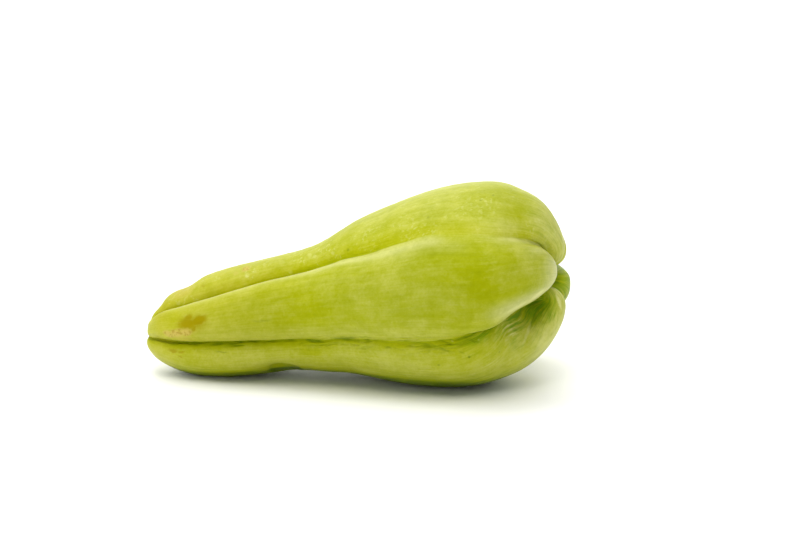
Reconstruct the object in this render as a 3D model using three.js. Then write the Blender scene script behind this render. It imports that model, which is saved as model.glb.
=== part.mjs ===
// A chayote squash, lying on its side as it would on a table: one solid, as it grew.
//
// The fruit is a long pear with five lobes. Its length runs along X, with the narrow stem end at -X and
// the broad blossom end at +X, and +Z is up. The origin is the middle of the bounding box's bottom. The
// fruit rests on small flats under its neck and under its two lowest lobes.
//
// The skin starts as a sphere's grid. Each row of the grid becomes one ring of a profile that runs from
// the stem scar, over the lip round it, along the fruit and into the hollow at the blossom end. Each
// column follows the fruit from end to end. The columns are closest together at the furrows, which press
// the skin inwards.
//
// Units are millimetres and degrees. In the tables, x runs along the fruit from the stem end's lip to
// LENGTH, and an angle round the fruit is 0 facing -Y, 90 facing up and 180 facing +Y.
import * as THREE from "three";
import { mergeVertices } from "three/addons/utils/BufferGeometryUtils.js";

// ---------------------------------------------------------------- driving dimensions

const LENGTH = 152;
const WIDTH_TO_HEIGHT = 1.14; // the fruit is a little flattened and lies on its broad side
const FOOT_FLAT = 0.3; // how much of the lowest skin the flats under the fruit take off
const HOLLOW_RADIUS = 9; // of the hollow round each end's scar, where the lobes thin out
const SCAR_RISE = 0.9; // how far towards the scar's own depth the furrows reach beside it
const STEM_TIP = [2, 24]; // the x over which a lobe's stem tip shortens or lengthens
const BLOSSOM_TIP = [LENGTH - 30, LENGTH - 4]; // the same for its blossom tip
const OVERHANG_PLACE = 0.18; // how far across its lobe an overhanging side hangs lowest
const CREST_POWER = 4; // how squarely a lobe's crest stands between its furrows
const CREASE_POWER = 3; // how sharply a crease cuts in
const ROWS = 56;
const COLUMNS_PER_LOBE = 20;
const COLUMN_CROWDING = 0.6; // how much closer together the columns stand at the furrows, from 0 to 1
const MERGE_DISTANCE = 1e-3;

// The crest profile from the stem scar to the blossom scar: [along the fruit, half of the height].
const PROFILE = [
  [3.6, 0],
  [2.8, 1.4],
  [0.8, 2.4],
  [0, 4.2],
  [1.6, 7.0],
  [4.9, 10.5],
  [9.6, 13.6],
  [16.4, 16.6],
  [24.0, 18.6],
  [33.0, 20.0],
  [45.0, 20.8],
  [58.0, 22.0],
  [72.0, 26.2],
  [87.0, 31.0],
  [101.0, 34.6],
  [115.0, 36.4],
  [127.0, 35.4],
  [137.0, 31.0],
  [144.5, 24.4],
  [149.4, 16.6],
  [151.0, 10.0],
  [148.6, 5.2],
  [142.0, 2.2],
  [138.5, 0],
];

// The height of the fruit's middle line: [x, z].
const MIDDLE_HEIGHT = [
  [0, 14.6],
  [7, 15.9],
  [14, 16.5],
  [20, 17.3],
  [27, 18.4],
  [35, 19.8],
  [45, 21.8],
  [56, 24.2],
  [66, 26.6],
  [77, 30.0],
  [92, 32.3],
  [106, 34.1],
  [120, 35.8],
  [134, 37.4],
  [LENGTH, 38.2],
];

// How far the middle line bends to the side: [x, y].
const MIDDLE_SIDE = [
  [0, 1.2],
  [27, 0.8],
  [52, 0.3],
  [77, 0],
  [127, 0],
  [LENGTH, -0.6],
];

// The furrows, in order round the fruit, each value as a row of x and a row of values. depth is how far
// the furrow presses the skin in, and sharp is 1 for a crease and 0 for a soft dip. lower and upper say
// how much of the lobe on each side it bends: the side with smaller angles, then the other. lower_sharp
// is for a furrow whose lower side isn't as sharp as its upper one.
const FURROWS = [
  {
    name: "front_lower",
    angle: {
      x: [0, 12, 24, 38, 54, 74, 92, 106, 114, 121, 128, 135, 142, LENGTH],
      value: [-10, -9, -9, -12, -18.5, -22, -21.5, -21, -20.5, -18.5, -14, -9, -7, -10],
    },
    depth: {
      x: [0, 5, 16, 52, 72, 102, 115, 126, 136, 144, LENGTH],
      value: [1.0, 2.6, 3.4, 2.8, 2.2, 2.2, 3.6, 8.5, 16, 17, 13],
    },
    sharp: { x: [0, 114, 132, LENGTH], value: [1, 1, 0.7, 0.6] },
    lower_sharp: { x: [0, 114, 126, 138, LENGTH], value: [1, 1, 0.9, 0.2, 0] },
    lower: { x: [0, 72, 106, 126, 138, LENGTH], value: [0.5, 0.4, 0.4, 0.6, 0.5, 0.5] },
    upper: { x: [0, 72, 106, 124, 138, LENGTH], value: [0.4, 0.3, 0.3, 0.4, 0.42, 0.45] },
  },
  {
    name: "front_upper",
    angle: {
      x: [0, 10, 24, 36, 48, 55, 62, 69, 76, 83, 92, 104, 114, 132, 140, 146, LENGTH],
      value: [60, 53, 51, 54, 57.5, 57, 54, 51, 46.5, 43.8, 43.8, 44.5, 42, 38, 40, 46, 52],
    },
    depth: {
      x: [0, 5, 16, 42, 72, 90, 106, 124, 136, 144, LENGTH],
      value: [1.2, 3.0, 4.4, 4.2, 3.6, 2.4, 1.5, 1.4, 2.4, 5, 7],
    },
    sharp: { x: [0, 72, 97, 110, 128, 140, 146], value: [1, 1, 0.5, 0, 0.1, 0.8, 1] },
    lower: { x: [0, 82, 107, 127, 142, LENGTH], value: [0.32, 0.32, 0.5, 0.5, 0.4, 0.45] },
    upper: { x: [0, 82, 112, LENGTH], value: [0.6, 0.55, 0.5, 0.5] },
  },
  {
    name: "back_upper",
    angle: { x: [0, 62, LENGTH], value: [122, 118, 108] },
    depth: { x: [0, 5, 16, 62, 102, 127, 142, LENGTH], value: [1.2, 2.6, 3.8, 3.4, 2.2, 3.2, 8, 9] },
    sharp: { x: [0, 72, 112, 137], value: [1, 0.8, 0.4, 1] },
    lower: { x: [0], value: [0.5] },
    upper: { x: [0], value: [0.5] },
  },
  {
    name: "back",
    angle: { x: [0, 62, LENGTH], value: [190, 184, 164] },
    depth: { x: [0, 5, 16, 62, 102, 127, 142, LENGTH], value: [1.2, 2.6, 3.4, 2.8, 2.2, 3.6, 8, 9] },
    sharp: { x: [0, 72, 112, 137], value: [1, 0.8, 0.5, 1] },
    lower: { x: [0], value: [0.5] },
    upper: { x: [0], value: [0.5] },
  },
  {
    name: "underside",
    angle: { x: [0, 62, 102, 122, LENGTH], value: [262, 266, 269, 268, 252] },
    depth: { x: [0, 5, 16, 62, 102, 127, 142, LENGTH], value: [1.2, 2.6, 3.0, 2.4, 3.0, 5, 9, 9] },
    sharp: { x: [0, 72, 112, 137], value: [1, 0.8, 0.6, 1] },
    lower: { x: [0], value: [0.5] },
    upper: { x: [0], value: [0.5] },
  },
];

// The lobes, each between the furrow of the same rank and the next one. swell is how far the lobe's
// crest stands out from the profile, overhang is how far its lower side hangs over the furrow below it,
// and stem and blossom say how much further its two tips reach.
const LOBES = [
  {
    name: "front",
    swell: { x: [0, 22, 102, 124, 136, 142, 148, LENGTH], value: [0.4, 0.4, 0.3, 0.8, 1.8, 1.8, 0.8, 0] },
    overhang: { x: [100, 114, 126, 136, 144, LENGTH], value: [0, 1.5, 4.5, 6.5, 6, 3] },
    stem: -0.9,
    blossom: -3.2,
  },
  {
    name: "top",
    swell: {
      x: [0, 14, 24, 52, 62, 87, 107, 127, 136, 144, LENGTH],
      value: [0.4, 0.2, 0, -0.2, -0.6, -0.4, -0.2, 0.2, 1.0, 2.8, 2.6],
    },
    overhang: { x: [0], value: [0] },
    stem: -1.6,
    blossom: -3.2,
  },
  {
    name: "back_upper",
    swell: { x: [0], value: [0] },
    overhang: { x: [0], value: [0] },
    stem: 0,
    blossom: 0,
  },
  {
    name: "back_lower",
    swell: { x: [0, 22, 62, 87, 107, 127, 142, LENGTH], value: [0, 1, 0.5, 1.2, 2.2, 2.6, 3.0, 2.2] },
    overhang: { x: [0], value: [0] },
    stem: 0,
    blossom: -0.4,
  },
  {
    name: "front_lower",
    swell: {
      x: [0, 8, 22, 38, 52, 68, 98, 114, 127, 137, 145, LENGTH],
      value: [-0.4, 0.2, 0.4, 0.4, 0.3, 0.2, 0.8, 0.8, 0.8, 1.8, 2.4, 2],
    },
    overhang: { x: [0], value: [0] },
    stem: 0.8,
    blossom: -1.9,
  },
];

// Small hollows in the skin: where their middle is, how far they spread in mm and degrees, and how deep
// they are.
const DENTS = [
  { name: "under_neck", x: 49, angle: -50, length: 5, spread: 11, depth: 1.3 },
  { name: "scar", x: 17.5, angle: 20, length: 4, spread: 7, depth: 0.4 },
  { name: "under_nose", x: 139, angle: -36, length: 7, spread: 13, depth: 2.6 },
];

// The pocket under the nose of the front lobe, in the lobe below it: where its middle is before the skin is
// pressed in, how far it spreads, and how the skin moves.
const POCKET = {
  lobe: "front_lower",
  middle: new THREE.Vector3(137, -17.5, 31),
  spread: 8,
  push: new THREE.Vector3(1, 13, 0),
};

// ---------------------------------------------------------------- tables as functions of x

// A smooth function through a row of x and a row of values, which stays level before the first and after
// the last. It never overshoots its values.
function along({ x: stations, value: values }) {
  const last = stations.length - 1;
  const slopes = stations.map((station, i) => {
    if (i === 0 || i === last) return 0;
    const before = (values[i] - values[i - 1]) / (station - stations[i - 1]);
    const after = (values[i + 1] - values[i]) / (stations[i + 1] - station);
    return before * after <= 0 ? 0 : (2 * before * after) / (before + after);
  });
  return (x) => {
    if (x <= stations[0]) return values[0];
    if (x >= stations[last]) return values[last];
    const i = stations.findIndex((station) => station > x) - 1;
    const width = stations[i + 1] - stations[i];
    const t = (x - stations[i]) / width;
    const rise = t * t * (3 - 2 * t);
    const bend = slopes[i] * t * (1 - t) ** 2 - slopes[i + 1] * t * t * (1 - t);
    return THREE.MathUtils.lerp(values[i], values[i + 1], rise) + width * bend;
  };
}

const columnsOf = (pairs) => ({ x: pairs.map(([x]) => x), value: pairs.map(([, value]) => value) });

const profile = new THREE.SplineCurve(PROFILE.map(([x, radius]) => new THREE.Vector2(x, radius)));
profile.arcLengthDivisions = 2000;
const middleHeight = along(columnsOf(MIDDLE_HEIGHT));
const middleSide = along(columnsOf(MIDDLE_SIDE));
const furrows = FURROWS.map((furrow) => ({
  angle: along(furrow.angle),
  depth: along(furrow.depth),
  sharp: along(furrow.sharp),
  lowerSharp: along(furrow.lower_sharp ?? furrow.sharp),
  lower: along(furrow.lower),
  upper: along(furrow.upper),
}));
const lobes = LOBES.map((lobe) => ({
  swell: along(lobe.swell),
  overhang: along(lobe.overhang),
  stem: lobe.stem,
  blossom: lobe.blossom,
}));

// ---------------------------------------------------------------- the skin

// How deep a furrow is at a share of its reach from its bottom line: 1 at the line, 0 at the reach.
function furrowShape(share, sharp) {
  if (share >= 1) return 0;
  const crease = (1 - share) ** CREASE_POWER;
  const dip = (1 + Math.cos(Math.PI * share)) / 2;
  return THREE.MathUtils.lerp(dip, crease, sharp);
}

// How much the small hollows take off the skin at a place on the fruit.
function dented(x, degrees) {
  return DENTS.reduce((depth, dent) => {
    const length = (x - dent.x) / dent.length;
    const round = (((degrees - dent.angle + 540) % 360) - 180) / dent.spread;
    return depth + dent.depth * Math.exp(-length * length - round * round);
  }, 0);
}

// The point of the skin at a share of the way along the profile, in a lobe, at a share of the way across
// it.
function skinPoint(way, lobe, across) {
  const ring = profile.getPointAt(way);
  const tangent = profile.getTangentAt(way);
  const outward = new THREE.Vector2(-tangent.y, tangent.x);

  // inside the hollows of the two ends the furrows run on towards the scar, pressed in along the fruit
  const scar = PROFILE.at(way < 0.5 ? 0 : -1)[0];
  const hollow = outward.y < 0;
  const hollowStation = way < 0.5 ? 0 : LENGTH;
  const station = hollow ? hollowStation : ring.x;
  const deepest = hollow ? SCAR_RISE * Math.abs(ring.x - scar) : Infinity;
  if (hollow) outward.set(Math.sign(outward.x), 0);

  const { swell, overhang, stem, blossom } = lobes[lobe];
  const start = furrows[lobe];
  const end = furrows[(lobe + 1) % furrows.length];
  const startAngle = start.angle(station);
  const endAngle = end.angle(station) + (lobe + 1 === furrows.length ? 360 : 0);
  const hang = (across / OVERHANG_PLACE) ** 2 * Math.exp(2 - (2 * across) / OVERHANG_PLACE);
  const droop = hollow ? 0 : (overhang(station) * hang) / Math.max(ring.y, HOLLOW_RADIUS);
  const degrees = THREE.MathUtils.lerp(startAngle, endAngle, across) - THREE.MathUtils.radToDeg(droop);
  const angle = THREE.MathUtils.degToRad(degrees);

  const pressed =
    start.depth(station) * furrowShape(across / start.upper(station), start.sharp(station)) +
    end.depth(station) * furrowShape((1 - across) / end.lower(station), end.lowerSharp(station));
  const nearScar = THREE.MathUtils.smoothstep(ring.y, 0, HOLLOW_RADIUS);
  const crest = 1 - (2 * across - 1) ** CREST_POWER;
  const reach =
    blossom * THREE.MathUtils.smoothstep(station, ...BLOSSOM_TIP) -
    stem * (1 - THREE.MathUtils.smoothstep(station, ...STEM_TIP));
  const bulge = (swell(station) * crest - dented(station, degrees)) * nearScar;
  ring.x += reach * crest * nearScar;
  ring.addScaledVector(outward, bulge - Math.min(pressed, deepest));

  const point = new THREE.Vector3(
    ring.x,
    middleSide(ring.x) - ring.y * Math.cos(angle) * WIDTH_TO_HEIGHT,
    Math.max(middleHeight(ring.x) + ring.y * Math.sin(angle) - FOOT_FLAT, 0),
  );
  if (LOBES[lobe].name === POCKET.lobe) {
    const apart = point.distanceTo(POCKET.middle) / POCKET.spread;
    point.addScaledVector(POCKET.push, crest * nearScar * Math.exp(-apart * apart));
  }
  return point;
}

function squashGeometry() {
  const geometry = new THREE.SphereGeometry(1, lobes.length * COLUMNS_PER_LOBE, ROWS);
  const position = geometry.getAttribute("position");
  const uv = geometry.getAttribute("uv");
  for (let i = 0; i < position.count; i++) {
    const way = 1 - uv.getY(i);
    const turn = (uv.getX(i) + 1) % 1;
    const column = Math.round(turn * lobes.length * COLUMNS_PER_LOBE * 2) / 2;
    const lobe = Math.floor(column / COLUMNS_PER_LOBE) % lobes.length;
    const share = (column % COLUMNS_PER_LOBE) / COLUMNS_PER_LOBE;
    const across = THREE.MathUtils.lerp(share, (1 - Math.cos(Math.PI * share)) / 2, COLUMN_CROWDING);
    position.setXYZ(i, ...skinPoint(way, lobe, across));
  }
  geometry.deleteAttribute("normal");
  geometry.deleteAttribute("uv");
  geometry.computeBoundingBox();
  const { min, max } = geometry.boundingBox;
  geometry.translate(-(min.x + max.x) / 2, -(min.y + max.y) / 2, -min.z);
  return mergeVertices(geometry, MERGE_DISTANCE);
}

const skin = new THREE.MeshStandardMaterial({ color: 0xaab52e, roughness: 0.42, metalness: 0 });
const fruit = new THREE.Mesh(squashGeometry(), skin);
fruit.name = "chayote_fruit";

const squash = new THREE.Group();
squash.add(fruit);

export default squash;
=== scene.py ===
"""Dresses a chayote squash that lies on its side, and sets a plain studio round it.

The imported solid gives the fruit's shape. Its skin is copied, smoothed and given its fine relief and
its colours here. Lengths are in metres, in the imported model's own frame: X runs from the stem end to
the blossom end, the front faces -Y, and +Z is up. Relief is worked out in millimetres.

A place on the skin is told by its x and its turn. A turn counts lobes round the fruit, from 0 in the
furrow below the front lobe to 1 in the furrow above it, and on over the top to 5. Furrows are numbered
the same way. A point's gap is its distance from the nearest furrow. The nose is the front lobe's blunt
end, and the notch is the deep green hollow under it, where the fold at the blossom end begins.
"""

import math

import bpy
import numpy as np
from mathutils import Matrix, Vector, noise


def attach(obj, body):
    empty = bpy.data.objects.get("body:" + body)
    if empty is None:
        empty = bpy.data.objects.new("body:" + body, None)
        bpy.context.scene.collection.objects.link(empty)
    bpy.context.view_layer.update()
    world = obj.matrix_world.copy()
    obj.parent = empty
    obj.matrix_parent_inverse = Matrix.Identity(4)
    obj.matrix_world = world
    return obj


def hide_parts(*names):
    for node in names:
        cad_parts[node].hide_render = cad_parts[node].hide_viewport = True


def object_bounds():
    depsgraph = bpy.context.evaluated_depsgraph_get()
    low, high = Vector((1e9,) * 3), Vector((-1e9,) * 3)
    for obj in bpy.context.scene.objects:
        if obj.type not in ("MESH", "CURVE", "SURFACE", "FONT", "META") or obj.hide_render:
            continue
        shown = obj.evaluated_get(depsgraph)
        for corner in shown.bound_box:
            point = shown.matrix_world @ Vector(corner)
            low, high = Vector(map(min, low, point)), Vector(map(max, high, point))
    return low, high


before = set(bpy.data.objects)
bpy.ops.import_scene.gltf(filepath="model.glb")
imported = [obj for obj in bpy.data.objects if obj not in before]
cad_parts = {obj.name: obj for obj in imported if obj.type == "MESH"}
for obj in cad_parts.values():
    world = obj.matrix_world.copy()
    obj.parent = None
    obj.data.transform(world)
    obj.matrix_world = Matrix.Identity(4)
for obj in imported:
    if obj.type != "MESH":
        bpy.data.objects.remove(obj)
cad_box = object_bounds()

bl_info = {
    "name": "Chayote Squash",
    "version": (1, 0, 0),
    "blender": (4, 5, 0),
    "location": "3D View > Sidebar > Chayote",
    "description": "Makes a chayote squash with its skin, and a plain studio for it",
    "category": "Object",
}

MM = 0.001
NODE = "chayote_fruit"
LOBES = 5
SMOOTHING_LEVELS = 2

# A distance in millimetres that nothing reaches.
FAR_OFF = 1000


# ---------------------------------------------------------------- settings


def depth_setting(name, description, millimetres):
    return bpy.props.FloatProperty(
        name=name, description=description, default=millimetres * MM, min=0, unit="LENGTH"
    )


def color_setting(name, description, red, green, blue):
    return bpy.props.FloatVectorProperty(
        name=name,
        description=description,
        default=(red, green, blue, 1),
        min=0,
        max=1,
        size=4,
        subtype="COLOR",
    )


def share_setting(name, description, share):
    return bpy.props.FloatProperty(
        name=name, description=description, default=share, min=0, max=1, subtype="FACTOR"
    )


def angle_setting(name, description, degrees):
    return bpy.props.FloatProperty(
        name=name, description=description, default=math.radians(degrees), subtype="ANGLE"
    )


class FruitSettings(bpy.types.PropertyGroup):
    """The fruit's fine relief and its colours"""

    slit_depth: depth_setting("Slit depth", "How deep the bottom line of a furrow is cut", 0.5)
    wrinkle_depth: depth_setting(
        "Wrinkle depth", "Depth of the fine folds beside the furrow below the front lobe", 0.3
    )
    fan_depth: depth_setting(
        "Fan depth", "Height of the ribs that fan out from the fold at the blossom end", 0.35
    )
    dent_depth: depth_setting("Dent depth", "Depth of the dent under the neck", 0.75)
    pit_depth: depth_setting("Pit depth", "Depth of the shallow pits over the top lobe", 0.10)
    wave_height: depth_setting("Wave height", "Height of the broad unevenness of the skin", 0.25)
    skin_color: color_setting("Skin", "Colour of the ripe skin", 0.395, 0.42, 0.001)
    pale_color: color_setting(
        "Pale skin", "Colour of the lighter patches and streaks", 0.48, 0.495, 0.085
    )
    ripe_color: color_setting(
        "Ripe skin", "Colour of the yellower skin towards the stem end", 0.47, 0.42, 0.001
    )
    # this colour paints the shade in the furrows, hollows, wrinkles and fold and under the fruit, and the
    # real dark green streaks and dots
    shade_and_dark_mark_color: color_setting(
        "Furrows", "Colour of the skin down in the furrows", 0.11, 0.175, 0.002
    )
    # this colour paints the highlights on the rims and edges, and the real pale streaks
    rim_color: color_setting("Rims", "Colour of the pale rims beside the furrows", 0.70, 0.69, 0.29)
    # this colour paints the greener skin and the painted shade round the fold, the notch, behind and under
    # the fruit
    green_shade_color: color_setting(
        "Green flush", "Colour of the greener skin round the fold", 0.155, 0.29, 0.006
    )
    scar_color: color_setting("Scars", "Colour of the healed marks near the stem", 0.31, 0.255, 0.001)
    tan_color: color_setting("Tan marks", "Colour of the dry marks near the stem", 0.54, 0.42, 0.09)
    crackle_color: color_setting("Crackle", "Colour of the cracks in the dry marks", 0.34, 0.23, 0.02)
    # this colour paints the pale specks and flecks, and the painted glints among them
    speck_and_glint_color: color_setting("Specks", "Colour of the small pale specks", 0.66, 0.68, 0.24)
    roughness: share_setting("Roughness", "Roughness of the waxy skin", 0.42)


class StageSettings(bpy.types.PropertyGroup):
    """The floor, the light and the camera"""

    floor_size: bpy.props.FloatProperty(
        name="Floor size", description="Side of the square floor", default=12, min=1, unit="LENGTH"
    )
    floor_color: color_setting("Floor", "Colour of the floor", 0.92, 0.92, 0.91)
    room_strength: bpy.props.FloatProperty(
        name="Room light",
        description="Strength of the soft white light from all round",
        default=0.35,
        min=0,
    )
    camera_side_share: share_setting(
        "Dark side", "How bright the room is on the camera's side, as a share of the rest", 0.05
    )
    lamp_strength: bpy.props.FloatProperty(
        name="Lamps",
        description="Strength that the lamps' shares are shares of",
        default=3.14,
        min=0,
    )
    camera_azimuth: angle_setting(
        "Camera azimuth", "How far the camera stands round to the blossom end", 5
    )
    camera_elevation: angle_setting(
        "Camera elevation", "How far above the horizon the camera stands", 12
    )
    camera_distance: bpy.props.FloatProperty(
        name="Camera distance",
        description="Distance from the camera to the point that it looks at",
        default=0.671,
        min=0.1,
        unit="LENGTH",
    )


# ---------------------------------------------------------------- shader sums


class Nodes:
    """A shader's nodes, made one by one."""

    def __init__(self, tree):
        self.tree = tree

    def add(self, kind, settings=(), inputs=(), output=0):
        """One node, its settings made first and then its inputs, as a Sum of one of its outputs."""
        node = self.tree.nodes.new(kind)
        for name, value in dict(settings).items():
            setattr(node, name, value)
        for socket, value in dict(inputs).items():
            self.feed(node.inputs[socket], value)
        return Sum(self, node.outputs[output])

    def feed(self, socket, value):
        if isinstance(value, Sum):
            self.tree.links.new(value.socket, socket)
        else:
            socket.default_value = value

    def mix(self, factor, first, second):
        """Colour first, or second where factor is 1."""
        settings = {"data_type": "RGBA", "clamp_factor": True}
        return self.add("ShaderNodeMix", settings, {0: factor, 6: first, 7: second}, output=2)

    def vector(self, operation, *values, output="Vector"):
        """Vector maths on values that are vectors or Sums of them."""
        inputs = dict(enumerate(values))
        return self.add("ShaderNodeVectorMath", {"operation": operation}, inputs, output)

    def attribute(self, name, output="Fac"):
        return self.add("ShaderNodeAttribute", {"attribute_name": name}, output=output)

    def noise(self, vector, scale, detail, roughness, output="Fac"):
        """Noise from 0 to 1, with that many features to a metre."""
        inputs = {"Vector": vector, "Scale": scale, "Detail": detail, "Roughness": roughness}
        return self.add("ShaderNodeTexNoise", inputs=inputs, output=output)

    def pattern(self, vector, scale, detail, roughness):
        """Noise that is as often below 0 as above it."""
        return self.noise(vector, scale, detail, roughness) - 0.5


class Sum:
    """A socket that takes part in Python sums."""

    def __init__(self, nodes, socket):
        self.nodes = nodes
        self.socket = socket

    def sum(self, operation, first, second):
        return self.nodes.add("ShaderNodeMath", {"operation": operation}, {0: first, 1: second})

    def __add__(self, other):
        return self.sum("ADD", self, other)

    __radd__ = __add__

    def __mul__(self, other):
        return self.sum("MULTIPLY", self, other)

    __rmul__ = __mul__

    def __sub__(self, other):
        return self.sum("SUBTRACT", self, other)

    def __rsub__(self, other):
        return self.sum("SUBTRACT", other, self)

    def between(self, low, high, top=1.0):
        """0 up to low, top from high on, and a smooth rise between them."""
        # a smooth step stays in its range, so it needs no clamp
        settings = {"interpolation_type": "SMOOTHSTEP", "clamp": False}
        inputs = {"Value": self, "From Min": low, "From Max": high, "To Max": top}
        return self.nodes.add("ShaderNodeMapRange", settings, inputs)


def new_material(name):
    """A new material, its nodes and its shader."""
    material = bpy.data.materials.new(name)
    material.use_nodes = True
    tree = material.node_tree
    return material, Nodes(tree), tree.nodes["Principled BSDF"]


# ---------------------------------------------------------------- the skin's grid


def edge_triangles(mesh):
    """For each directed edge of each triangle, the point opposite it."""
    third = {}
    for face in mesh.polygons:
        a, b, c = face.vertices
        third[a, b], third[b, c], third[c, a] = c, a, b
    return third


def skin_rings(mesh):
    """The mesh's rings from the stem scar to the blossom scar, as rows of point numbers.

    Every ring starts in the furrow below the front lobe and goes up the front. A scar is a point where
    all the columns meet.
    """
    third = edge_triangles(mesh)
    places = np.array([point.co for point in mesh.vertices])
    corners = [point for face in mesh.polygons for point in face.vertices]
    scars = np.argsort(np.bincount(corners))[-2:]
    stem, blossom = sorted(scars, key=lambda point: places[point, 0])

    ring = [next(b for a, b in third if a == stem)]
    while third[stem, ring[-1]] != ring[0]:
        ring.append(third[stem, ring[-1]])
    rings = [ring]
    while True:
        below = [third[b, a] for a, b in zip(ring, np.roll(ring, -1))]
        if below[0] == blossom:
            break
        # each point below touches two points of this ring, and the nearer one is in its own column
        shifted = list(np.roll(below, 1))
        straight = np.linalg.norm(places[below] - places[ring], axis=1).sum()
        slanted = np.linalg.norm(places[shifted] - places[ring], axis=1).sum()
        ring = below if straight < slanted else shifted
        rings.append(ring)
    rings = np.array(rings)

    # the columns are closest together in the furrows, and the furrow wanted faces the front most
    columns = rings.shape[1]
    spacing = np.linalg.norm(places[np.roll(rings, -1, axis=1)] - places[rings], axis=2).mean(axis=0)
    crowding = (spacing + np.roll(spacing, 1)).reshape(LOBES, -1).sum(axis=0)
    furrows = np.argmin(crowding) + np.arange(LOBES) * columns // LOBES
    middle = rings[len(rings) // 2]
    start = min(furrows, key=lambda column: places[middle[column], 1])
    return np.roll(rings, -start, axis=1)


def store(mesh, name, values):
    """Keeps a number, or a row of three, for each point of the mesh."""
    values = np.asarray(values, dtype=np.float32)
    kind, field = ("FLOAT_VECTOR", "vector") if values.ndim == 2 else ("FLOAT", "value")
    attribute = mesh.attributes.new(name, kind, "POINT")
    attribute.data.foreach_set(field, values.ravel())


def stored(mesh, name):
    attribute = mesh.attributes[name]
    field, size = ("vector", 3) if attribute.data_type == "FLOAT_VECTOR" else ("value", 1)
    values = np.empty(len(mesh.vertices) * size, dtype=np.float32)
    attribute.data.foreach_get(field, values)
    return values.reshape(-1, size).squeeze().astype(float)


def mark_skin(mesh):
    """Keeps each point's turn, its share of the way from scar to scar, and its gap on the mesh."""
    rings = skin_rings(mesh)
    places = np.array([point.co for point in mesh.vertices])
    count, columns = rings.shape
    across = columns // LOBES
    steps = np.linalg.norm(places[np.roll(rings, -1, axis=1)] - places[rings], axis=2)
    steps = steps.reshape(count, LOBES, across)
    after = np.cumsum(steps, axis=2) - steps
    before = steps.sum(axis=2, keepdims=True) - after
    turn = np.zeros(len(places))
    way = np.where(places[:, 0] < places[:, 0].mean(), 0.0, 1.0)
    gap = np.zeros(len(places))
    turn[rings] = np.arange(columns) / across
    way[rings] = (np.arange(count)[:, None] + 1) / (count + 1)
    gap[rings] = np.minimum(after, before).reshape(count, columns)
    angle = turn * math.tau / LOBES
    store(mesh, "lobe_side", np.stack([np.cos(angle), np.sin(angle), way], axis=1))
    store(mesh, "gap", gap)
    return rings


def join_pairs(fruit, rings):
    """Turns each pair of triangles between two rings and two columns into one quad."""
    mesh = fruit.data
    place = {}
    for row, ring in enumerate(rings):
        for column, point in enumerate(ring):
            place[point] = (row, column)
    for edge in mesh.edges:
        a, b = (place.get(point) for point in edge.vertices)
        edge.select = bool(a and b and a[0] != b[0] and a[1] != b[1])
    bpy.context.tool_settings.mesh_select_mode = (False, True, False)
    bpy.ops.object.mode_set(mode="EDIT")
    bpy.ops.mesh.dissolve_edges(use_verts=False)
    bpy.ops.object.mode_set(mode="OBJECT")
    quads = sum(len(face.vertices) == 4 for face in mesh.polygons)
    if quads != (len(rings) - 1) * rings.shape[1]:
        raise RuntimeError("the skin's triangles didn't join into an even grid")


def smoothed_copy(context):
    """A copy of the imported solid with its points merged, its grid marked and its faces smoothed."""
    bpy.ops.object.select_all(action="DESELECT")
    fruit = bpy.data.objects.new("chayote_skin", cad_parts[NODE].data.copy())
    context.scene.collection.objects.link(fruit)
    fruit.select_set(True)
    context.view_layer.objects.active = fruit

    bpy.ops.object.mode_set(mode="EDIT")
    bpy.ops.mesh.select_all(action="SELECT")
    bpy.ops.mesh.remove_doubles(threshold=0.001 * MM)
    bpy.ops.mesh.select_all(action="DESELECT")
    bpy.ops.object.mode_set(mode="OBJECT")
    bpy.ops.mesh.customdata_custom_splitnormals_clear()
    join_pairs(fruit, mark_skin(fruit.data))

    bpy.ops.object.modifier_add(type="SUBSURF")
    smoothing = fruit.modifiers[-1]
    smoothing.levels = SMOOTHING_LEVELS
    smoothing.render_levels = SMOOTHING_LEVELS
    bpy.ops.object.modifier_apply(modifier=smoothing.name)
    return fruit


# ---------------------------------------------------------------- places on the skin


def rise(values, low, high):
    """0 up to low, 1 from high on, and a smooth rise between. It falls where high is below low."""
    share = np.clip((values - low) / (high - low), 0, 1)
    return share * share * (3 - 2 * share)


def plateau(values, start, full, fading, end):
    """0 up to start, 1 from full to fading, and 0 from end on."""
    return rise(values, start, full) * rise(values, end, fading)


def span(values, start, end, fade):
    """1 from start to end, fading to 0 over a stretch inside each of them."""
    return plateau(values, start, start + fade, end - fade, end)


def hump(values, middle, width):
    """1 at the middle, falling to about a third at the width to each side of it."""
    return np.exp(-(((values - middle) / width) ** 2))


def smooth_noise(places):
    """Noise from -1 to 1 at each place."""
    return np.array([noise.noise(Vector(place)) for place in places])


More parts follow.
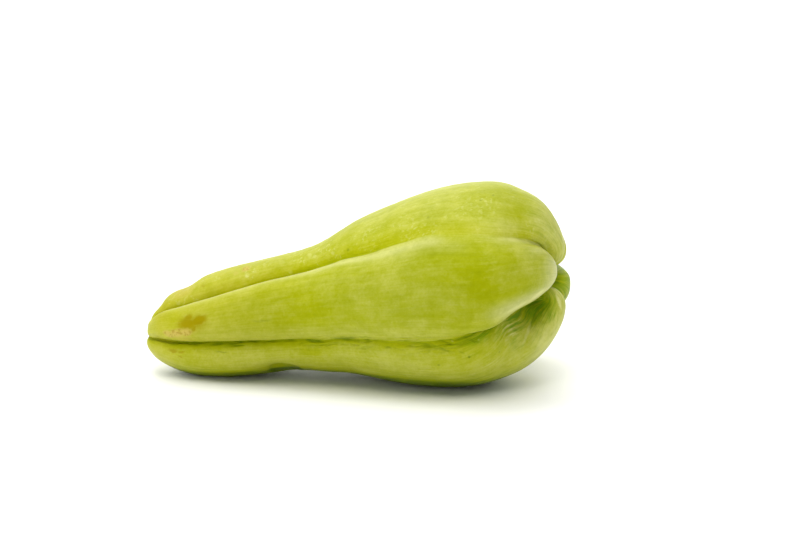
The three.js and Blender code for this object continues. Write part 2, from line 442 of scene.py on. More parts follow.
class Skin:
    """The smoothed skin's points in millimetres, and where each is on the fruit."""

    def __init__(self, mesh):
        count = len(mesh.vertices)
        places = np.empty(count * 3, dtype=np.float32)
        mesh.vertices.foreach_get("co", places)
        normals = np.empty(count * 3, dtype=np.float32)
        mesh.vertex_normals.foreach_get("vector", normals)
        self.mesh = mesh
        self.places = places.reshape(-1, 3).astype(float) / MM
        self.normals = normals.reshape(-1, 3).astype(float)
        self.x = self.places[:, 0]
        self.z = self.places[:, 2]
        side = stored(mesh, "lobe_side")
        self.turn = (np.arctan2(side[:, 1], side[:, 0]) / math.tau * LOBES) % LOBES
        self.way = side[:, 2]
        self.gap = stored(mesh, "gap") / MM
        across = np.cross(self.normals, (1, 0, 0))
        self.across = across / np.maximum(np.linalg.norm(across, axis=1), 0.01)[:, None]
        self.height = np.zeros(count)
        self.slide = np.zeros(count)

    def turned(self, turn):
        """How far each point is past a turn, counted the shorter way round."""
        return (self.turn - turn + LOBES / 2) % LOBES - LOBES / 2

    def beside(self, furrow):
        """Distance from a furrow, more than 0 towards larger turns, and far off outside its two lobes."""
        turned = self.turned(furrow)
        return np.sign(turned) * np.where(np.abs(turned) < 0.5, self.gap, FAR_OFF)

    def nearest(self, x, turn):
        """The skin's point at a place."""
        lobe_width = 30
        return self.places[np.argmin((self.x - x) ** 2 + (self.turned(turn) * lobe_width) ** 2)]

    def apart(self, x, turn, length, height):
        """Distance from a place, in that length along the fruit and that height round it."""
        apart = self.places - self.nearest(x, turn)
        return np.hypot(apart[:, 0] / length, np.hypot(apart[:, 1], apart[:, 2]) / height)

    def noise(self, size, seed, stretch=(1, 1, 1)):
        """Noise from -1 to 1 with features of about that size in millimetres."""
        return smooth_noise(self.places / (np.array(stretch) * size) + seed)

    def noise_along(self, size, seed):
        """Noise from -1 to 1 that changes along the fruit alone."""
        still = np.full(len(self.x), seed)
        return smooth_noise(np.stack([self.x / size, still, still], axis=1))

    def fibres(self, count, length):
        """Places for streaks along the fruit: so many round it, each with that share of its length."""
        angle = self.turn * math.tau / LOBES
        radius = count / math.tau
        return np.stack([np.cos(angle) * radius, np.sin(angle) * radius, self.way / length], axis=1)

    def apply(self):
        """Moves the points out along their normals and across the fruit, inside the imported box."""
        moved = self.places + self.normals * self.height[:, None] + self.across * self.slide[:, None]
        low = np.array(cad_box[0]) / MM
        high = np.array(cad_box[1]) / MM
        moved = np.clip(moved, low, high) * MM
        self.mesh.vertices.foreach_set("co", moved.astype(np.float32).ravel())
        self.mesh.update()


# ---------------------------------------------------------------- relief

# Each furrow's bottom line: the furrow, the x where the slit starts and ends, its share of the slit
# depth, and its width in millimetres.
SLITS = (
    (0, -80, -30, 0.7, 0.5),
    (0, -40, 6, 0.4, 0.5),
    (0, 46, 74, 1.0, 0.7),
    (1, -80, -10, 0.25, 0.8),
    (1, 62, 80, 0.4, 0.5),
    (2, -80, 20, 0.8, 0.5),
    (3, -80, 20, 0.8, 0.5),
    (4, -80, 20, 0.8, 0.5),
)

# Where the furrows wander from side to side: the furrow, the x where it starts and ends, how far it
# goes in millimetres, and how long a bend is.
WANDERS = (
    (0, -80, 80, 0.25, 5),
    (0, -44, 60, 0.5, 9),
    (1, -80, 40, 0.35, 6),
    (2, -80, 60, 0.5, 9),
    (3, -80, 60, 0.5, 9),
    (4, -80, 60, 0.5, 9),
)

# Where the furrows run a little to one side: the furrow, the x of the middle, half the length, how far
# it goes towards larger turns and how far to each side of the furrow the skin follows, in millimetres.
SHIFTS = (
    (1, 60, 9, 1.3, 5),
    (1, 3, 7, -0.8, 4),
    (0, 50, 7, -0.8, 4),
    (0, -67, 6, -0.9, 4),
)

# The dent under the neck: the x and turn of its middle, half its length and half its height in
# millimetres.
DENT = (-24.0, 4.46, 6.0, 5.4)

# Soft hollows, and swellings where the depth is below 0: the x and turn of the middle, half the length,
# half the height and the depth in millimetres.
HOLLOWS = (
    (-61, 1.55, 4.5, 9, 1.2),
    (-72, 1.5, 3.0, 6, 0.5),
    (-6, 1.05, 4, 3, 0.3),
    (66, 1.7, 5, 6, 0.5),
    (60, 2.1, 6, 6, 0.5),
    (51, 0.26, 7, 5, -1.2),
)

# The fine folds beside the furrow below the front lobe, a coarse set and a finer one: the noise's seed,
# and how long and how high its features are in millimetres.
WRINKLES = (
    (0.0, 11, 1.5),
    (20.0, 7, 1.0),
)

# How far the folds reach below and above that furrow in millimetres, by x.
WRINKLE_REACH = (
    (-60, 1.0, 0.5),
    (-30, 4.0, 2.0),
    (0, 7.0, 4.0),
    (45, 7.0, 6.0),
    (60, 3.0, 4.0),
)

# Where the streaks on the lower front lobe fan out from, as x and height in millimetres.
FAN_X = 72
FAN_Z = 34

# How deep a hollow is where its painted shade is darkest, in millimetres.
DARK_HOLLOW = 1.6


def cut_slits(skin, depth):
    for furrow, start, end, share, width in SLITS:
        line = hump(skin.beside(furrow), 0, width) * span(skin.x, start, end, fade=8)
        skin.height -= depth * share * line


def bend_furrows(skin):
    for number, (furrow, start, end, reach, bend) in enumerate(WANDERS):
        near = hump(skin.beside(furrow), 0, 3) * span(skin.x, start, end, fade=10)
        skin.slide += reach * near * skin.noise_along(bend, seed=4.1 * number + 0.7)
    for furrow, x, length, reach, width in SHIFTS:
        skin.slide += reach * hump(skin.beside(furrow), 0, width) * hump(skin.x, x, length)


def press_hollows(skin):
    for x, turn, length, height, depth in HOLLOWS:
        skin.height -= depth * hump(skin.apart(x, turn, length, height), 0, 1)


def roughen(skin, wave, pit):
    """Broad unevenness all over, and small pits, which are deepest over the top lobe."""
    top = plateau(skin.turn, 0.9, 1.2, 1.9, 2.3)
    skin.height += wave * skin.noise(14, seed=1.7, stretch=(2, 1, 1))
    skin.height += pit * (0.25 + 0.75 * top) * skin.noise(1.9, seed=8.3)


def wrinkled(skin):
    """How far each point is down in a wrinkle, from 0 to 1, round the furrow below the front lobe.

    A wrinkle is where a noise that is stretched along the furrow passes through 0, so wrinkles part and
    join. Each fades in and out.
    """
    distance = skin.beside(0)
    inside = np.zeros(len(skin.x))
    for seed, length, height in WRINKLES:
        bent = distance + 1.4 * skin.noise_along(8, seed + 3)
        flat = np.stack([skin.x / length, bent / height, np.full(len(bent), seed)], axis=1)
        line = hump(smooth_noise(flat), 0, 0.11)
        present = rise(smooth_noise(flat / (1.6, 2.2, 1) + 9.3), -0.12, 0.25)
        inside = np.maximum(inside, line * present)
    stations, below, above = zip(*WRINKLE_REACH)
    reach = np.where(
        distance < 0, np.interp(skin.x, stations, below), np.interp(skin.x, stations, above)
    )
    return inside * rise(np.abs(distance) / reach, 1.1, 0.5) * span(skin.x, -70, 66, fade=20)


def dented(skin):
    """1 inside the dent under the neck, falling fast to 0 at its ragged edge."""
    return rise(skin.apart(*DENT) + 0.12 * skin.noise(3, seed=5.5), 1.12, 0.85)


def fanned(skin):
    """1 over the part of the lower front lobe where ribs fan out from the fold, and 0 elsewhere."""
    distance = np.hypot(skin.x - FAN_X, skin.z - FAN_Z)
    return rise(skin.turn, 4.42, 4.62) * plateau(distance, 3, 9, 16, 32)


def fan_fibres(skin):
    """Places for streaks that fan out from the end of the fold, as they look from the front."""
    rays_to_a_radian = 20
    ray_length = 6
    across = skin.x - FAN_X
    up = skin.z - FAN_Z
    angle = np.arctan2(up, across) + 0.12 * skin.noise(9, seed=2.2)
    distance = np.hypot(across, up)
    return np.stack([angle * rays_to_a_radian, distance / ray_length, np.zeros(len(up))], axis=1)


def ribbed(skin):
    """Height of the ribs that fan out from the fold, mostly from -1 to 1."""
    fibres = fan_fibres(skin)
    broad = smooth_noise(fibres * (0.35, 0.5, 1))
    fine = smooth_noise(fibres * (0.8, 0.8, 1) + 5.1)
    return fanned(skin) * (broad + 0.6 * fine)


def hollowness(skin, steps=60):
    """How far each point lies below the skin round it, in millimetres."""
    mesh = skin.mesh
    edges = np.empty(len(mesh.edges) * 2, dtype=np.int32)
    mesh.edges.foreach_get("vertices", edges)
    a, b = edges.reshape(-1, 2).T
    count = len(skin.x)
    links = np.bincount(a, minlength=count) + np.bincount(b, minlength=count)
    smooth = skin.places
    for _ in range(steps):
        sums = []
        for axis in smooth.T:
            sums.append(np.bincount(a, axis[b], count) + np.bincount(b, axis[a], count))
        smooth = np.stack(sums, axis=1) / links[:, None]
    return ((smooth - skin.places) * skin.normals).sum(axis=1)


# ---------------------------------------------------------------- where each look shows

# Painted shade on the flanks of the furrows: the furrow and which side of it, and then the width in
# millimetres and the darkness, by x.
FLANKS = (
    (0, -1, (
        (-80, 2, 0.5), (-60, 2.5, 0.6), (-40, 3, 0.6), (-20, 3, 0.4),
        (10, 2.5, 0.35), (40, 3, 0.45), (60, 4, 0.7), (80, 5, 0.7),
    )),
    (0, 1, (
        (-80, 0.7, 0.4), (-40, 0.7, 0.4), (0, 0.7, 0.2), (40, 0.7, 0.1), (60, 0.7, 0.1), (80, 0.7, 0.2),
    )),
    (1, 1, (
        (-80, 2, 0.3), (-30, 2.4, 0.3), (-12, 3.6, 0.35), (3, 5, 0.4), (19, 6, 0.3),
        (34, 5, 0), (54, 4, 0), (65, 4, 0.3), (80, 6, 0.5),
    )),
    (1, -1, (
        (-80, 0.6, 0.3), (0, 0.6, 0.2), (24, 0.6, 0.1), (45, 0.6, 0), (66, 0.6, 0), (80, 0.6, 0.3),
    )),
    (2, 1, ((-80, 2, 0.5), (20, 2, 0.4), (45, 2, 0.2), (70, 2, 0.6))),
    (2, -1, ((-80, 1.4, 0.5), (20, 1.4, 0.4), (45, 1.4, 0.2), (70, 1.4, 0.6))),
    (3, 1, ((-80, 2, 0.6), (20, 2, 0.5), (45, 2, 0.3), (70, 2, 0.6))),
    (3, -1, ((-80, 1.4, 0.6), (20, 1.4, 0.5), (45, 1.4, 0.3), (70, 1.4, 0.6))),
    (4, 1, ((-80, 2, 0.6), (20, 2, 0.5), (45, 2, 0.3), (70, 2, 0.6))),
    (4, -1, ((-80, 1.4, 0.6), (20, 1.4, 0.5), (45, 1.4, 0.3), (70, 1.4, 0.6))),
)

# Painted highlights on the rims beside the furrows: the furrow, which side of it, the x where the rim
# starts and ends, how far its middle is from the furrow and its half width in millimetres, and how pale it
# is.
RIM_HIGHLIGHTS = (
    (1, -1, -74, 0, 1.9, 1.3, 1.3),
    (1, -1, -74, 40, 3.2, 3.2, 0.6),
    (1, -1, -10, 48, 5.0, 4.0, 0.3),
    (1, -1, 44, 90, 1.4, 1.8, 0.5),
    (0, 1, 44, 90, 1.2, 1.4, 1.0),
    (0, 1, 40, 90, 4.0, 4.5, 0.4),
    (0, 1, -60, 60, 5.0, 4.0, 0.2),
)

# Bands along the lobes: the turn of the middle and the half width in turns, the x where the band starts
# and ends, how far it fades inside them, and how strong it is. An end of 200 is past the fruit's own end,
# so the band doesn't fade there. The highlight bands are painted highlights on the nose's lower and upper
# edges, the foot of the top lobe, the end of the lower front lobe, and the skin below the notch.
HIGHLIGHT_BANDS = (
    (0.34, 0.06, 42, 90, 14, 0.8),
    (0.76, 0.09, 58, 200, 7, 0.5),
    (1.16, 0.12, 34, 72, 20, 0.35),
    (4.52, 0.12, 56, 200, 12, 0.6),
    (4.60, 0.06, 50, 66, 10, 0.35),
)

# Painted shade: darker, more saturated skin along the middle of the front lobe and over the foot of the top
# lobe, where no sheen falls on it.
SHADED_MIDDLE_BANDS = (
    (0.42, 0.30, -62, 84, 28, 1.0),
    (0.70, 0.20, 8, 62, 16, 1.3),
    (0.62, 0.16, -48, 26, 16, 0.7),
    (1.25, 0.20, 14, 44, 16, 0.7),
    (1.42, 0.22, 30, 66, 14, 0.75),
)

# The middle of the notch, and how far the greener skin and painted shade reach round it, in millimetres.
NOTCH = (64, -9, 28.5)
NOTCH_REACH = 7

# How far the greener skin and painted shade reach below the furrow that leads to the notch, in
# millimetres, by x.
GREEN_SHADE_REACH = (
    (20, 2),
    (36, 3),
    (50, 7),
    (55, 14),
    (62, 12),
    (74, 5),
)


def banded(skin, bands):
    """How strong the strongest of the bands is at each point."""
    strongest = np.zeros(len(skin.x))
    for turn, width, start, end, fade, strength in bands:
        band = hump(skin.turn, turn, width) * span(skin.x, start, end, fade)
        strongest = np.maximum(strongest, strength * band)
    return strongest


def rims(skin):
    """How strong the painted highlight is at each point, on the rims of the furrows and the lobes."""
    pale = banded(skin, HIGHLIGHT_BANDS)
    for furrow, side, start, end, middle, width, strength in RIM_HIGHLIGHTS:
        distance = skin.beside(furrow) * side
        band = hump(distance, middle, width) * (distance > 0) * span(skin.x, start, end, fade=12)
        pale = np.maximum(pale, strength * band)
    # painted highlights on the nose's tip and on the top lobe's end
    nose_tip = 0.65 * plateau(skin.turn, 0.3, 0.36, 0.75, 0.9) * rise(skin.x, 64, 71)
    top_end = 0.4 * plateau(skin.turn, 1.0, 1.3, 1.8, 2.1) * rise(skin.x, 54, 68)
    return np.maximum.reduce([pale, nose_tip, top_end])


def flank_shade(skin):
    """How much painted shade each point gets because it lies beside a furrow."""
    shade = np.zeros(len(skin.x))
    for furrow, side, profile in FLANKS:
        stations, widths, darkness = zip(*profile)
        distance = skin.beside(furrow) * side
        width = np.interp(skin.x, stations, widths)
        near = np.exp(-((np.maximum(distance, 0) / width) ** 1.5)) * (distance >= 0)
        shade = np.maximum(shade, near * np.interp(skin.x, stations, darkness))
    return shade


def shaded(skin, dent, hollow):
    """Painted shade: beside the furrows, in hollows and the dent, under the fruit and inside the fold."""
    # painted shade under the fruit where the skin faces the floor, and deep inside the fold at the blossom
    # end
    grounded = rise(-skin.normals[:, 2], 0.72, 0.86) * rise(skin.z, 8, 4)
    inside_fold = rise(skin.way, 0.93, 0.96)
    shade = flank_shade(skin) + 0.4 * hollow + 0.2 * dent + 0.8 * grounded + 0.75 * inside_fold
    return np.clip(shade, 0, 1)


def greened_and_shaded(skin):
    """Greener skin and painted shade round the fold and notch, behind and underneath; just greener at the
    end.
    """
    below = np.where(skin.beside(0) <= 0, -skin.beside(0), FAR_OFF)
    stations, reaches = zip(*GREEN_SHADE_REACH)
    reach = np.interp(skin.x, stations, reaches)
    round_fold = hump(below, 0, reach) * span(skin.x, 30, 90, fade=22)
    round_notch = hump(np.linalg.norm(skin.places - NOTCH, axis=1), 0, NOTCH_REACH)
    # painted shade behind the fold and under the fruit
    behind = 0.6 * plateau(skin.turn, 2.4, 2.8, 4.0, 4.2) * rise(skin.x, 60, 72)
    underneath = rise(skin.z, 13, 2) * np.interp(skin.x, (0, 30), (0.35, 0.6))
    blossom_end = 0.18 * rise(skin.x, 48, 66)
    return np.maximum.reduce([round_fold, round_notch, behind, underneath, blossom_end])


def stranded(skin):
    """How strongly the streaks show at each point."""
    off_furrow = np.interp(skin.gap, (6, 14, 24), (1.2, 1.1, 0.5))
    lower_front = rise(skin.turn, 4.05, 4.3) * rise(skin.x, 26, 52) * off_furrow
    nose = 0.35 * rise(skin.turn, 1.1, 0.9) * rise(skin.x, 10, 60)
    behind = 0.5 * plateau(skin.turn, 1.9, 2.2, 4.05, 4.3) * rise(skin.x, 10, 60)
    top_end = 0.7 * plateau(skin.turn, 1.0, 1.2, 2.0, 2.2) * rise(skin.x, 50, 66)
    stem_end = 0.35 * rise(skin.x, -40, -66)
    blossom_end = 0.45 * rise(skin.x, 44, 66)
    everywhere = np.full(len(skin.x), 0.12)
    return np.maximum.reduce([lower_front, nose, behind, top_end, stem_end, blossom_end, everywhere])


def ripened(skin):
    """How yellow each point is: towards the stem, but less underneath, and above the upper furrow."""
    distance = skin.beside(1)
    flank = hump(distance, 2, 3) * (distance > 0)
    underneath = rise(skin.turn, 4.0, 4.2)
    return rise(skin.x, 0, -50) * (1 - 0.6 * underneath) + 0.4 * flank


# ---------------------------------------------------------------- skin material

# Marks on the skin: x and turn of the middle, half its length and half its height in millimetres, how
# it leans in degrees, and how strong it is.
SCARS = (
    (-56.2, 0.45, 6.6, 3.3, 12, 0.6),
    (-57.6, 0.45, 4.8, 2.5, 12, 1.0),
    (-53.6, 0.475, 3.8, 1.8, 24, 1.2),
    (-58.0, 0.54, 2.2, 1.1, 30, 0.9),
    (-55.6, 0.37, 2.0, 1.0, 50, 0.9),
    (-64.3, 4.80, 2.2, 0.9, 0, 0.8),
    (-61.2, 4.80, 1.4, 0.5, 10, 0.7),
    (-61.2, 4.74, 1.2, 0.4, -20, 0.7),
    (-54.0, 1.29, 0.9, 0.6, 0, 0.4),
)
TAN_MARKS = (
    (-58.5, 0.325, 3.0, 1.5, 8, 1.0),
    (-62.0, 0.315, 3.0, 1.5, 0, 1.0),
    (-65.6, 0.30, 2.8, 1.4, -6, 0.9),
    (-60.0, 0.22, 4.5, 2.0, 0, 0.35),
    (-60.5, 0.37, 2.0, 0.7, 0, 0.7),
    (-62.9, 1.36, 5.0, 3.0, 25, 0.4),
    (-38.8, 1.375, 1.8, 0.8, 20, 0.9),
    (-42.0, 1.34, 1.2, 0.8, 0, 0.3),
)
DARK_DOTS = (
    (-52.4, 0.475, 1.6, 1.0, 22, 0.6),
    (31.7, 4.738, 0.45, 0.45, 0, 0.6),
    (42.6, 4.762, 0.55, 0.55, 0, 0.9),
    (-29.2, 0.375, 2.4, 0.5, 2, 0.4),
    (-32.0, 0.375, 2.0, 0.4, -4, 0.3),
    (-46.0, 4.825, 2.6, 0.35, -4, 0.5),
    (-51.0, 4.86, 1.8, 0.3, 4, 0.4),
    (0.6, 0.06, 2.6, 0.7, 0, 0.7),
    (-2.4, 0.10, 1.6, 0.4, 10, 0.5),
    (14.6, 4.90, 1.5, 0.5, 0, 0.6),
    (34.0, 4.88, 2.6, 0.6, -12, 0.5),
    (40.0, 4.82, 1.4, 0.5, -30, 0.4),
    (-1.0, 1.15, 0.6, 0.6, 0, 0.5),
    (52.0, 4.66, 0.4, 0.4, 0, 0.5),
    (44.4, 1.375, 0.6, 0.5, 0, 0.5),
    (48.8, 1.425, 0.5, 0.5, 0, 0.5),
    (27.0, 1.25, 0.5, 0.5, 0, 0.4),
)
# Pale specks, partly real specks and partly painted glints.
PALE_SPECKS_AND_GLINTS = (
    (-38.2, 1.25, 1.2, 0.9, 0, 0.8),
    (-35.8, 1.28, 1.0, 0.6, 0, 0.7),
    (-25.8, 1.32, 1.4, 0.7, 0, 0.4),
    (-15.5, 1.30, 0.9, 0.9, 40, 0.9),
    (-13.6, 1.26, 0.8, 0.8, 40, 0.9),
    (-6.8, 1.19, 0.9, 0.8, 0, 0.9),
    (-19.1, 1.01, 1.1, 0.4, 0, 0.6),
    (36.5, 4.975, 0.4, 0.35, 0, 0.9),
    (45.5, 4.862, 0.4, 0.35, 0, 1.0),
    (38.4, 1.312, 0.5, 0.5, 0, 0.6),
    (48.3, 1.312, 0.5, 0.4, 0, 0.6),
    (49.5, 1.275, 0.7, 0.4, 30, 0.6),
    (36.9, 1.24, 0.6, 0.4, 20, 0.6),
)
# Painted highlights: thin bright lines along the nose's edge, at the end of the lower front lobe and beside
# the notch.
HIGHLIGHT_STREAKS = (
    (72.4, 4.60, 3.2, 0.5, 112, 1.0),
    (70.6, 0.53, 3.6, 0.8, 84, 0.9),
    (68.8, 0.385, 3.2, 0.8, 50, 0.9),
    (64.5, 0.345, 4.4, 0.8, 32, 0.8),
    (58.5, 0.325, 5.0, 0.8, 18, 0.6),
    (61.3, 4.63, 4.2, 0.6, 68, 0.4),
    (66.6, 4.56, 6.0, 0.8, 60, 0.3),
)
GREEN_STREAKS = (
    (63.6, 4.66, 4.0, 0.8, 64, 0.7),
    (67.0, 4.62, 3.4, 0.6, 74, 0.5),
    (59.0, 4.73, 3.0, 0.6, 48, 0.6),
    (51.0, 4.85, 4.0, 0.5, 24, 0.8),
    (47.0, 4.91, 5.0, 0.4, 12, 0.8),
    (41.0, 4.96, 5.0, 0.35, 6, 0.7),
    (36.5, 4.92, 4.0, 0.3, 3, 0.6),
    (43.5, 4.88, 2.6, 0.35, -14, 0.5),
    (31.5, 4.92, 3.0, 0.35, -22, 0.6),
    (26.0, 4.98, 4.0, 0.3, -6, 0.5),
    (20.5, 0.04, 4.5, 0.3, 4, 0.5),
    (6.0, 0.10, 3.4, 0.3, 4, 0.5),
    (-2.0, 0.03, 4.2, 0.7, -3, 0.9),
    (-13.0, 4.97, 4.2, 0.45, 1, 0.8),
)

# Where the small pale flecks and painted glints crowd together, in the same terms.
FLECK_AND_GLINT_CLUSTERS = (
    (-37.4, 1.28, 3.4, 2.4, 30, 1.0),
    (-33.3, 1.42, 4.0, 1.6, 0, 0.6),
    (-19.5, 1.38, 4.5, 2.2, 0, 0.9),
    (-9.8, 1.31, 5.0, 3.0, 20, 0.9),
    (6.0, 1.25, 6.0, 3.0, 30, 0.6),
    (43.0, 1.30, 9.0, 4.0, 0, 0.5),
    (25.0, 1.08, 8.0, 3.0, 20, 0.6),
)

# How far out a mark is still full and how far its soft edge reaches, as shares of its half size.
MARK_FULL = 0.35
MARK_REACH = 1.25

# How far the marks' outlines are pushed about, in metres.
RAGGEDNESS = 1.5 * MM


def marked(nodes, place, skin, marks):
    """How strong the strongest of the marks is at each place, falling to 0 at its edge."""
    strongest = 0.0
    for x, turn, length, height, lean, strength in marks:
        size = Vector((length, 2 * max(length, height), height))
        inputs = {
            "Vector": place,
            "Location": Vector(skin.nearest(x, turn)) * MM,
            "Rotation": (0, math.radians(-lean), 0),
            "Scale": size * MARK_REACH * MM,
        }
        local = nodes.add("ShaderNodeMapping", {"vector_type": "TEXTURE"}, inputs)
        # 1 in the middle and 0 at the reach. A vector's length would do, but it takes more of the
        # renderer's room for a material, which so many marks would overfill.
        settings = {"gradient_type": "SPHERICAL"}
        closeness = nodes.add("ShaderNodeTexGradient", settings, {"Vector": local}, "Fac")
        mark = closeness.between(0, 1 - MARK_FULL / MARK_REACH, strength)
        strongest = nodes.add("ShaderNodeMath", {"operation": "MAXIMUM"}, {0: strongest, 1: mark})
    return strongest


def skin_material(settings, skin):
    """Waxy skin: pale patches, streaks, mottling, painted shade and highlights, and small marks."""
    material, nodes, shader = new_material("chayote_skin")
    place = nodes.add("ShaderNodeTexCoord", output="Object")
    fibre = nodes.attribute("fibre", "Vector")
    fan_fibre = nodes.attribute("fan_fibre", "Vector")
    shade = nodes.attribute("shade")
    wrinkle_lines = nodes.attribute("wrinkle_lines")
    rim = nodes.attribute("rim")
    ribs = nodes.attribute("ribs")
    green_shade = nodes.attribute("green_shade")
    fleck_and_glint_area = nodes.attribute("fleck_and_glint_area")
    strands = nodes.attribute("strands")
    stem = nodes.attribute("stem")
    plain = nodes.attribute("plain")
    ripe = nodes.attribute("ripe")
    fan = nodes.attribute("fan")

    long_place = nodes.vector("MULTIPLY", place, (1, 2.4, 2.4))
    fine_fibre = nodes.vector("MULTIPLY", fibre, (2.6, 2.6, 1.6))
    patches = nodes.pattern(long_place, scale=34, detail=3, roughness=0.55)
    blotches = nodes.pattern(place, scale=130, detail=2, roughness=0.5)
    mottle = nodes.pattern(place, scale=420, detail=3, roughness=0.65)
    grain = nodes.pattern(place, scale=1300, detail=2, roughness=0.6)
    streaks = nodes.pattern(fibre, scale=1, detail=3, roughness=0.6)
    threads = nodes.pattern(fine_fibre, scale=1, detail=2, roughness=0.6)
    fan_streaks = nodes.pattern(fan_fibre, scale=1, detail=3, roughness=0.6)

    # paler and yellower skin at random, paler under the painted rim highlights, less pale in painted shade
    pale = patches * 2.3 + blotches * 1.2 + mottle * 1.4 + grain + streaks * 1.2 + threads
    pale = pale + rim * 0.5 + ribs * 0.4 - shade * 3.2 - plain * 0.4 - green_shade * 0.9
    tone = nodes.mix(pale.between(-1.1, 1.1), settings.skin_color, settings.pale_color)
    tone = nodes.mix(ripe * 0.3, tone, settings.ripe_color)
    # painted highlights on the rims
    tone = nodes.mix(rim.between(0, 1.2, 0.9), tone, settings.rim_color)

    # greener skin and painted shade round the fold, broken up by the streaks, and the light streaks between
    strand = (threads + streaks * 0.7) * (1 - fan) + fan_streaks * fan * 1.7
    green = green_shade * (1 - strand * 1.4) - strand * strands * 1.6
    light = strand * strands * 2.4 * (0.7 + patches * 3) + ribs * 0.1 - 0.06
    tone = nodes.mix(green.between(0.1, 1.1), tone, settings.green_shade_color)
    tone = nodes.mix(light.between(0, 0.8, 0.5), tone, settings.rim_color)

    # painted shade in the furrows, hollows, wrinkles and fold, under the fruit and along the lobes'
    # middles, and mottling everywhere
    dark = (shade * (1 - streaks * 0.8) + wrinkle_lines * 0.35 - mottle * 0.12).between(0.1, 1.2)
    dark = dark + 0.06 + plain * 0.17 - mottle * 0.36
    dark = dark - blotches * 0.3 - streaks * 0.3 - grain * 0.15
    tone = nodes.mix(dark, tone, settings.shade_and_dark_mark_color)

    # the marks, each with a ragged outline
    push = nodes.noise(place, scale=500, detail=3, roughness=0.6, output="Color")
    ragged = nodes.vector("MULTIPLY_ADD", push, (RAGGEDNESS,) * 3, place)
    ragged = nodes.vector("SUBTRACT", ragged, (RAGGEDNESS / 2,) * 3)
    green_streaks = marked(nodes, ragged, skin, GREEN_STREAKS)
    tone = nodes.mix(green_streaks * 0.8, tone, settings.shade_and_dark_mark_color)
    # painted highlights along the edges
    highlight_streaks = marked(nodes, ragged, skin, HIGHLIGHT_STREAKS)
    tone = nodes.mix(highlight_streaks * 0.7, tone, settings.rim_color)
    dark_dots = marked(nodes, ragged, skin, DARK_DOTS)
    tone = nodes.mix(dark_dots * 0.8, tone, settings.shade_and_dark_mark_color)
    tone = nodes.mix(stem * 0.1, tone, settings.tan_color)
    tone = nodes.mix(marked(nodes, ragged, skin, SCARS), tone, settings.scar_color)

    # the dry marks and the cracks in them
    tan = marked(nodes, ragged, skin, TAN_MARKS)
    cracks = nodes.noise(place, scale=900, detail=2, roughness=0.5).between(0.5, 0.6)
    tone = nodes.mix(tan * 0.9, tone, settings.tan_color)
    tone = nodes.mix(tan.between(0.3, 0.7) * cracks * 0.6, tone, settings.crackle_color)

    # pale specks, partly painted glints, and small pale flecks and painted glints where they crowd together
    crowded = marked(nodes, place, skin, FLECK_AND_GLINT_CLUSTERS) + fleck_and_glint_area * blotches.between(0.03, 0.12, 0.5)
    flecks_and_glints = nodes.noise(place, scale=760, detail=1, roughness=0.5).between(0.56, 0.66) * crowded
    specks = marked(nodes, ragged, skin, PALE_SPECKS_AND_GLINTS) * 0.3 + flecks_and_glints * 0.38
    tone = nodes.mix(specks, tone, settings.speck_and_glint_color)
    nodes.feed(shader.inputs["Base Color"], tone)

    nodes.feed(shader.inputs["Roughness"], settings.roughness + mottle * 0.3)
    height = mottle + grain * 0.5 + streaks * 0.8 + threads * 0.5
    bump = {"Strength": 0.8, "Distance": 0.15 * MM, "Height": height}
    nodes.feed(shader.inputs["Normal"], nodes.add("ShaderNodeBump", inputs=bump))
    shader.inputs["Specular IOR Level"].default_value = 0.22
    shader.inputs["Specular Tint"].default_value = (0.9, 1, 0.1, 1)
    shader.inputs["Subsurface Weight"].default_value = 0.12
    shader.inputs["Subsurface Radius"].default_value = (1.0, 1.0, 0.2)
    shader.inputs["Subsurface Scale"].default_value = 2 * MM
    return material


# ---------------------------------------------------------------- operators


class CHAYOTE_OT_make_fruit(bpy.types.Operator):
    """Makes the fruit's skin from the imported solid, with its furrows, wrinkles, ribs, pits and colours"""

    bl_idname = "chayote.make_fruit"
    bl_label = "Make fruit"

    def execute(self, context):
        settings = context.scene.chayote_fruit
        fruit = smoothed_copy(context)
        mesh = fruit.data
        skin = Skin(mesh)
        wrinkle_lines = wrinkled(skin)
        dent = dented(skin)
        ribs = ribbed(skin)
        # how far down in a hollow each point lies, which sets the painted shade there
        hollow = np.clip(hollowness(skin) / DARK_HOLLOW, 0, 1)

        bend_furrows(skin)
        press_hollows(skin)
        cut_slits(skin, settings.slit_depth / MM)
        skin.height -= settings.dent_depth / MM * dent
        skin.height -= settings.wrinkle_depth / MM * wrinkle_lines
        skin.height += settings.fan_depth / MM * ribs
        roughen(skin, settings.wave_height / MM, settings.pit_depth / MM)
        skin.apply()
        bpy.ops.object.shade_smooth()

        looks = {
            "fibre": skin.fibres(count=160, length=1 / 12),
            "fan_fibre": fan_fibres(skin),
            "shade": shaded(skin, dent, hollow),
            # painted shade in the wrinkles' creases
            "wrinkle_lines": wrinkle_lines,
            "rim": rims(skin),
            "ribs": ribs,
            "green_shade": greened_and_shaded(skin),
            "fleck_and_glint_area": plateau(skin.turn, 1.0, 1.12, 1.6, 1.9),
            "strands": stranded(skin),
            "stem": rise(skin.x, -46, -76) * rise(skin.noise(9, seed=3.3), -0.4, 0.3),
            # painted shade along the middle of the front lobe and over the foot of the top lobe
            "plain": banded(skin, SHADED_MIDDLE_BANDS),
            "ripe": ripened(skin),
            "fan": fanned(skin),
        }
        for name, values in looks.items():
            store(mesh, name, values)
        for name in ("lobe_side", "gap"):
            mesh.attributes.remove(mesh.attributes[name])

        mesh.materials.clear()
        mesh.materials.append(skin_material(settings, skin))
        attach(fruit, "root")
        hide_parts(NODE)
        return {"FINISHED"}


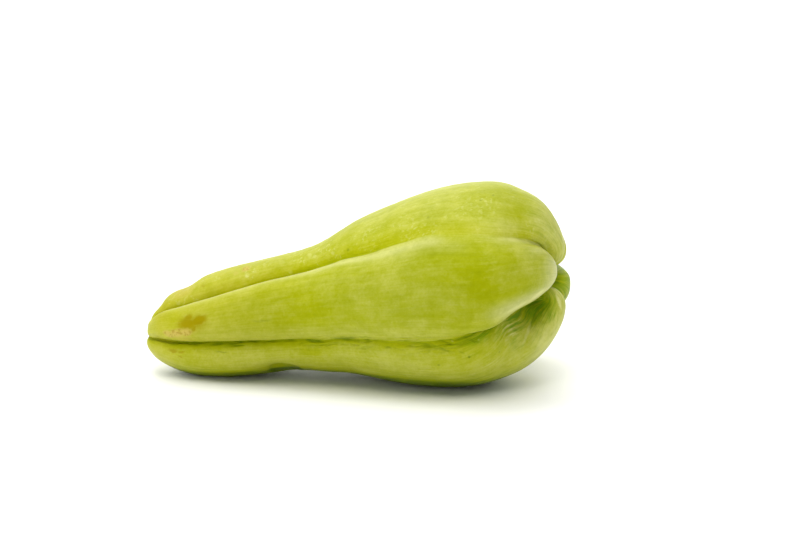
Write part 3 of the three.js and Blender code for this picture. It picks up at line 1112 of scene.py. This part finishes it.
# The studio's soft lamps: name, how far each stands round from the front to the blossom end and how
# high above the horizon, how wide it looks, all in degrees, its share of the light, and whether it
# shows as a sheen on the skin.
LAMPS = (
    ("low_back", 180, 20, 45, 0.535, False),
    ("back_sheen", 180, 20, 45, 0.13, True),
    ("left", 270, 34, 36, 0.42, False),
    ("right", 90, 40, 40, 0.22, False),
    ("above_front", 17, 65, 40, 0.31, True),
    ("above", 0, 90, 50, 0.22, True),
    ("above_back", 230, 65, 50, 0.26, True),
    ("low_front", -27, 15, 50, 0.27, False),
)

# The point that the camera looks at, and the camera's lens and sensor in millimetres.
AIM = (0.0156, 0, 0.0402)
LENS = 85
SENSOR = 36


def outwards(azimuth, elevation):
    """The direction that far round from the front to the blossom end and that far above the horizon."""
    flat = math.cos(elevation)
    return Vector((math.sin(azimuth) * flat, -math.cos(azimuth) * flat, math.sin(elevation)))


def facing(direction):
    """The turn of a lamp or camera that stands in that direction and looks back."""
    return direction.to_track_quat("Z", "Y").to_euler()


def soft_sun(name, azimuth, elevation, width, strength, sheen):
    """A lamp that looks as wide as that, very far away."""
    bpy.ops.object.light_add(type="SUN")
    lamp = bpy.context.object
    lamp.name = name
    lamp.data.energy = strength
    lamp.data.angle = math.radians(width)
    lamp.rotation_euler = facing(outwards(math.radians(azimuth), math.radians(elevation)))
    lamp.visible_glossy = sheen


def lay_floor(settings):
    bpy.ops.mesh.primitive_plane_add(size=settings.floor_size)
    floor = bpy.context.object
    floor.name = "floor"
    material, _, shader = new_material("floor")
    shader.inputs["Base Color"].default_value = settings.floor_color
    shader.inputs["Roughness"].default_value = 0.6
    shader.inputs["Specular IOR Level"].default_value = 0.2
    floor.data.materials.append(material)


def light_room(scene, settings):
    """Soft white light from all round, brighter from above and behind than from the front."""
    world = bpy.data.worlds.new("room")
    world.use_nodes = True
    nodes = Nodes(world.node_tree)
    way = nodes.add("ShaderNodeTexCoord", output="Generated")
    behind = nodes.vector("DOT_PRODUCT", way, (0, 0.7, 0.7), output="Value")
    share = settings.camera_side_share
    background = world.node_tree.nodes["Background"]
    background.inputs["Color"].default_value = (1, 1, 1, 1)
    bright = behind.between(0, 0.8) * (1 - share) + share
    nodes.feed(background.inputs["Strength"], bright * settings.room_strength)
    scene.world = world


def place_camera(scene, settings):
    back = outwards(settings.camera_azimuth, settings.camera_elevation)
    bpy.ops.object.camera_add(location=Vector(AIM) + back * settings.camera_distance)
    camera = bpy.context.object
    camera.name = "camera"
    camera.rotation_euler = facing(back)
    camera.data.lens = LENS
    camera.data.sensor_width = SENSOR
    scene.camera = camera


class CHAYOTE_OT_make_stage(bpy.types.Operator):
    """Makes the pale floor, the soft lights and the camera"""

    bl_idname = "chayote.make_stage"
    bl_label = "Make stage"

    def execute(self, context):
        settings = context.scene.chayote_stage
        bpy.ops.object.select_all(action="DESELECT")
        lay_floor(settings)
        light_room(context.scene, settings)
        for name, azimuth, elevation, width, share, sheen in LAMPS:
            strength = share * settings.lamp_strength
            soft_sun(name + "_light", azimuth, elevation, width, strength, sheen)
        place_camera(context.scene, settings)
        context.scene.view_settings.view_transform = "Standard"
        return {"FINISHED"}


class CHAYOTE_PT_sidebar(bpy.types.Panel):
    bl_idname = "CHAYOTE_PT_sidebar"
    bl_label = "Chayote"
    bl_space_type = "VIEW_3D"
    bl_region_type = "UI"
    bl_category = "Chayote"

    def draw(self, context):
        for settings, operator in (
            (context.scene.chayote_fruit, CHAYOTE_OT_make_fruit),
            (context.scene.chayote_stage, CHAYOTE_OT_make_stage),
        ):
            box = self.layout.box()
            for name in settings.__annotations__:
                box.prop(settings, name)
            box.operator(operator.bl_idname)


CLASSES = (
    FruitSettings,
    StageSettings,
    CHAYOTE_OT_make_fruit,
    CHAYOTE_OT_make_stage,
    CHAYOTE_PT_sidebar,
)


def register():
    for each in CLASSES:
        bpy.utils.register_class(each)
    bpy.types.Scene.chayote_fruit = bpy.props.PointerProperty(type=FruitSettings)
    bpy.types.Scene.chayote_stage = bpy.props.PointerProperty(type=StageSettings)


def unregister():
    del bpy.types.Scene.chayote_stage
    del bpy.types.Scene.chayote_fruit
    for each in reversed(CLASSES):
        bpy.utils.unregister_class(each)


def main():
    register()
    bpy.ops.chayote.make_fruit()
    bpy.ops.chayote.make_stage()


if __name__ == "__main__":
    main()
